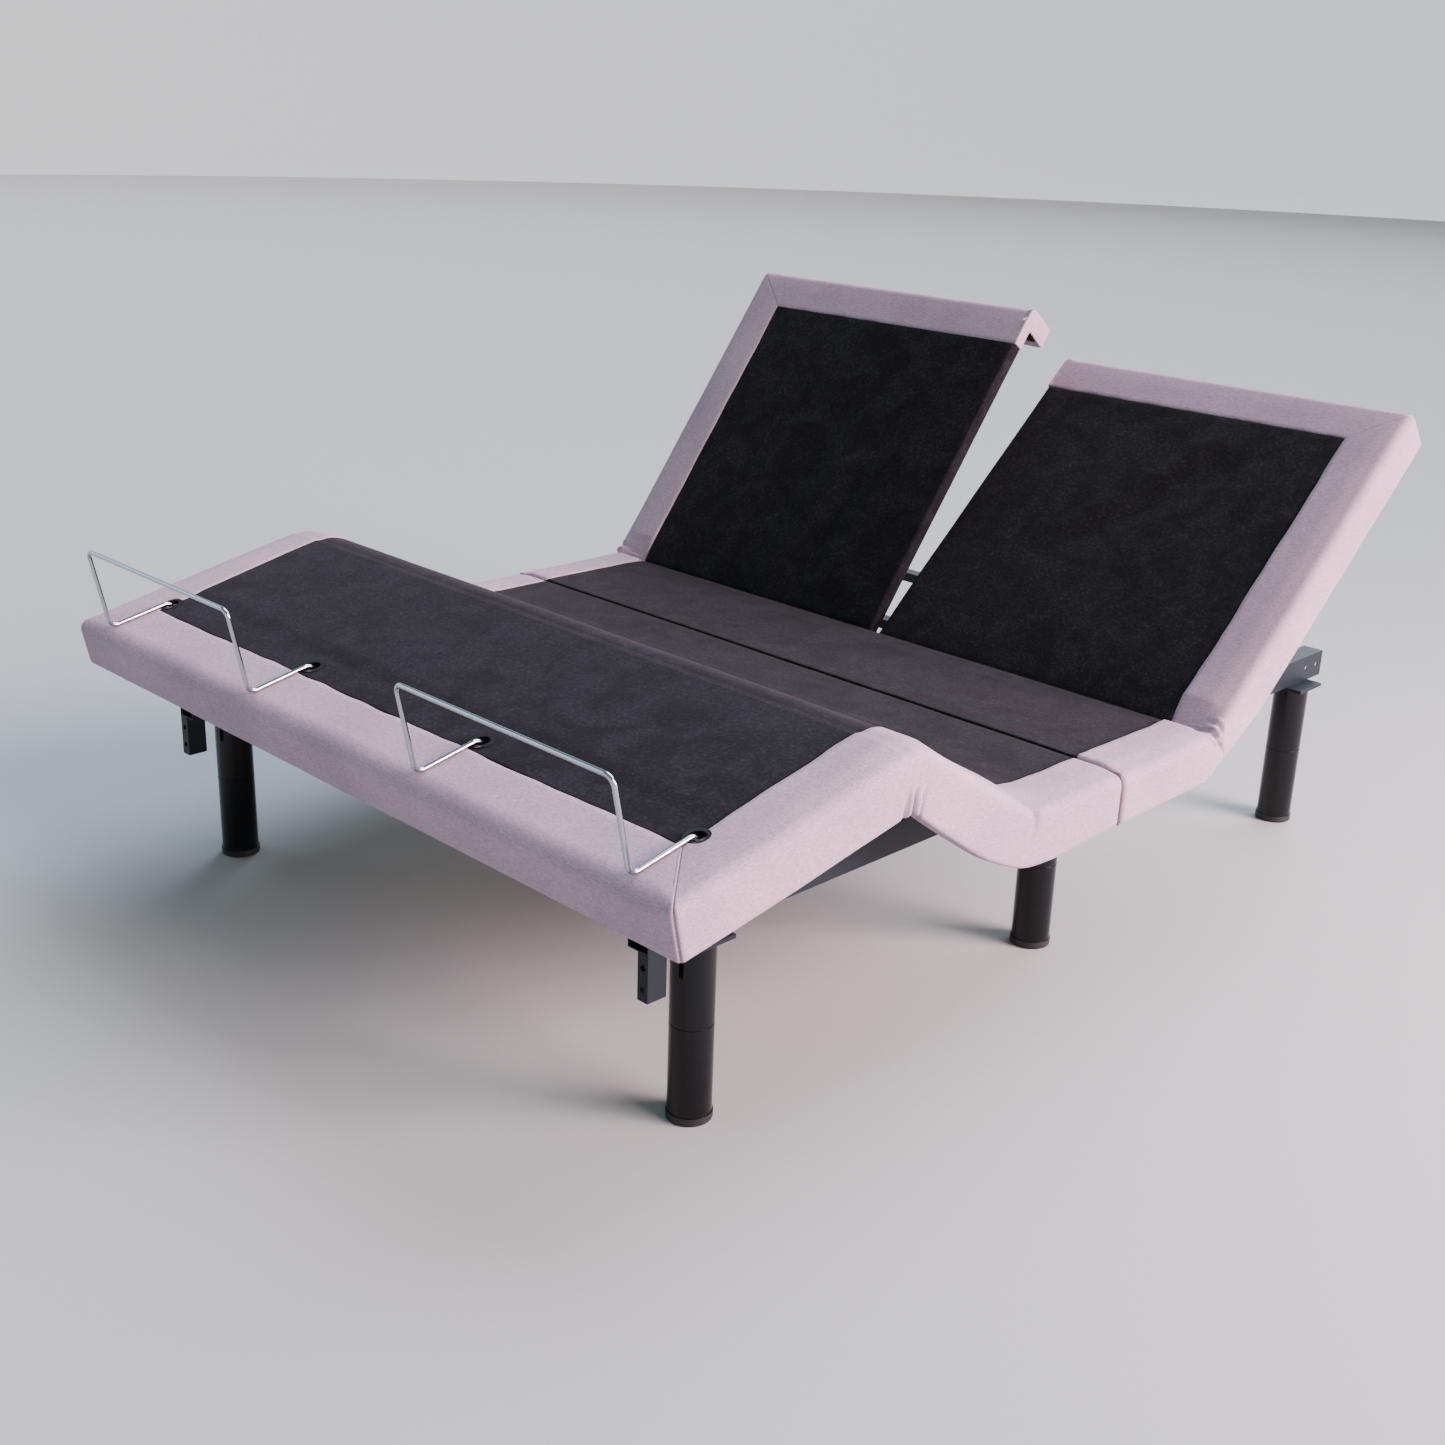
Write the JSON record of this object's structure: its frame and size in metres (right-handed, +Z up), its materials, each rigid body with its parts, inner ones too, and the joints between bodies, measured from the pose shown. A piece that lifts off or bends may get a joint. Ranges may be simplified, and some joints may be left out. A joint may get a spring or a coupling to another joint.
{
  "type": "adjustable bed base",
  "caption": "Upholstered adjustable bed base with split lifting head, bending leg section, steel frame on round legs and wire mattress retainers at the foot.",
  "frame": {"origin": "centre of the whole base's footprint at the floor, with the base posed as shown", "axes": "+X to the right seen from the foot end, +Y towards the head end, +Z up"},
  "size_m": [1.5, 1.913, 0.9383],
  "materials": {
    "frame_powder_coat": "satin powder coat",
    "leg_gloss_black": "gloss enamel",
    "glide_plastic": "moulded",
    "zinc_steel": "zinc plated",
    "rod_steel": "ground",
    "actuator_tube": "anodised",
    "black_plastic": "moulded, fine texture",
    "border_fabric": "linen-look weave",
    "deck_fabric": "needle-felt cover",
    "plywood": "bare birch plywood",
    "retainer_chrome": "polished",
    "socket_plastic": "moulded"
  },
  "bodies": {
    "base": {"front_side_rails": "frame_powder_coat", "rear_side_rails": "frame_powder_coat", "splice_plates": "frame_powder_coat", "frame_bolts": "zinc_steel", "cross_tubes": "frame_powder_coat", "base_hinge_brackets": "frame_powder_coat", "base_pivot_pins": "zinc_steel", "footboard_posts": "frame_powder_coat", "leg_foot_left": "leg_gloss_black", "leg_foot_right": "leg_gloss_black", "leg_middle_left": "leg_gloss_black", "leg_middle_right": "leg_gloss_black", "leg_head_left": "leg_gloss_black", "leg_head_right": "leg_gloss_black", "leg_plates": "frame_powder_coat", "leg_glides": "glide_plastic", "seat_front_deck_board": "plywood", "seat_rear_deck_board": "plywood", "seat_apron_boards": "plywood", "seat_border": "border_fabric", "seat_deck_cover": "deck_fabric", "control_box": "black_plastic"},
    "head_left": {"head_left_deck_board": "plywood", "head_left_apron_boards": "plywood", "head_left_border": "border_fabric", "head_left_deck_cover": "deck_fabric", "head_left_frame": "frame_powder_coat", "head_left_lugs_and_lever": "frame_powder_coat"},
    "head_right": {"head_right_deck_board": "plywood", "head_right_apron_boards": "plywood", "head_right_border": "border_fabric", "head_right_deck_cover": "deck_fabric", "head_right_frame": "frame_powder_coat", "head_right_lugs_and_lever": "frame_powder_coat"},
    "thigh": {"thigh_deck_board": "plywood", "thigh_deck_cover": "deck_fabric", "thigh_apron_boards": "plywood", "thigh_border": "border_fabric", "thigh_frame": "frame_powder_coat", "thigh_lugs_and_lever": "frame_powder_coat", "knee_pins": "zinc_steel"},
    "calf": {"calf_deck_board": "plywood", "calf_deck_cover": "deck_fabric", "calf_apron_boards": "plywood", "calf_border": "border_fabric", "calf_frame": "frame_powder_coat", "calf_hinge_lugs": "frame_powder_coat", "retainer_sockets": "socket_plastic"},
    "calf_link": {"calf_links": "frame_powder_coat"},
    "head_left_actuator": {"head_left_actuator_motor": "black_plastic", "head_left_actuator_tube": "actuator_tube"},
    "head_left_rod": {"head_left_actuator_rod": "rod_steel"},
    "head_right_actuator": {"head_right_actuator_motor": "black_plastic", "head_right_actuator_tube": "actuator_tube"},
    "head_right_rod": {"head_right_actuator_rod": "rod_steel"},
    "foot_actuator": {"foot_actuator_motor": "black_plastic", "foot_actuator_tube": "actuator_tube"},
    "foot_rod": {"foot_actuator_rod": "rod_steel"},
    "retainer_left": {"retainer_bar_left": "retainer_chrome"},
    "retainer_right": {"retainer_bar_right": "retainer_chrome"}
  },
  "joints": [
    {"name": "head_left_hinge", "type": "hinge", "parent": "base", "child": "head_left", "pos_m": [0, 0.31047, 0.344], "axis": [1, 0, 0], "range_deg": [-52.7, 9.3]},
    {"name": "head_left_actuator_pivot", "type": "hinge", "parent": "base", "child": "head_left_actuator", "pos_m": [-0.25, -0.14453, 0.238], "axis": [1, 0, 0], "range_deg": [-0.1058, 0.3665]},
    {"name": "head_left_rod_slide", "type": "slide", "parent": "head_left_actuator", "child": "head_left_rod", "axis": [0, 0.9996, 0.0266], "range_m": [-0.0881, 0.016]},
    {"name": "head_right_hinge", "type": "hinge", "parent": "base", "child": "head_right", "pos_m": [0, 0.31047, 0.344], "axis": [1, 0, 0], "range_deg": [-40.7, 21.3]},
    {"name": "head_right_actuator_pivot", "type": "hinge", "parent": "base", "child": "head_right_actuator", "pos_m": [0.25, -0.14453, 0.238], "axis": [1, 0, 0], "range_deg": [-0.1225, 0.1885]},
    {"name": "head_right_rod_slide", "type": "slide", "parent": "head_right_actuator", "child": "head_right_rod", "axis": [0, 0.9999, 0.0157], "range_m": [-0.0682, 0.0359]},
    {"name": "thigh_hinge", "type": "hinge", "parent": "base", "child": "thigh", "pos_m": [0, -0.19753, 0.344], "axis": [-1, 0, 0], "range_deg": [-32.2, 7.8]},
    {"name": "knee_hinge", "type": "hinge", "parent": "thigh", "child": "calf", "pos_m": [0, -0.48016, 0.52198], "axis": [1, 0, 0], "range_deg": [-44.09, 10.72]},
    {"name": "calf_link_pivot", "type": "hinge", "parent": "base", "child": "calf_link", "pos_m": [0, -0.63203, 0.2569], "axis": [-1, 0, 0], "range_deg": [-40.29, 9.8]},
    {"name": "foot_actuator_pivot", "type": "hinge", "parent": "base", "child": "foot_actuator", "pos_m": [0, 0.26047, 0.238], "axis": [1, 0, 0], "range_deg": [-0.1742, 0.0801]},
    {"name": "foot_rod_slide", "type": "slide", "parent": "foot_actuator", "child": "foot_rod", "axis": [0, -0.9999, 0.0172], "range_m": [-0.0556, 0.0138]},
    {"name": "retainer_left_lift", "type": "slide", "parent": "calf", "child": "retainer_left", "axis": [0, -0.2052, 0.9787], "range_m": [0, 0.08]},
    {"name": "retainer_right_lift", "type": "slide", "parent": "calf", "child": "retainer_right", "axis": [0, -0.2052, 0.9787], "range_m": [0, 0.08]}
  ],
  "couplings": [
    {"joint": "head_left_actuator_pivot", "follows": "head_left_hinge", "ratio": -0.00601},
    {"joint": "head_left_rod_slide", "follows": "head_left_hinge", "m_per_rad": 0.09525},
    {"joint": "head_right_actuator_pivot", "follows": "head_right_hinge", "ratio": -0.0034},
    {"joint": "head_right_rod_slide", "follows": "head_right_hinge", "m_per_rad": 0.09524},
    {"joint": "knee_hinge", "follows": "thigh_hinge", "ratio": 1.3677},
    {"joint": "calf_link_pivot", "follows": "thigh_hinge", "ratio": 1.2496},
    {"joint": "foot_actuator_pivot", "follows": "thigh_hinge", "ratio": 0.00386},
    {"joint": "foot_rod_slide", "follows": "thigh_hinge", "m_per_rad": 0.09799}
  ]
}
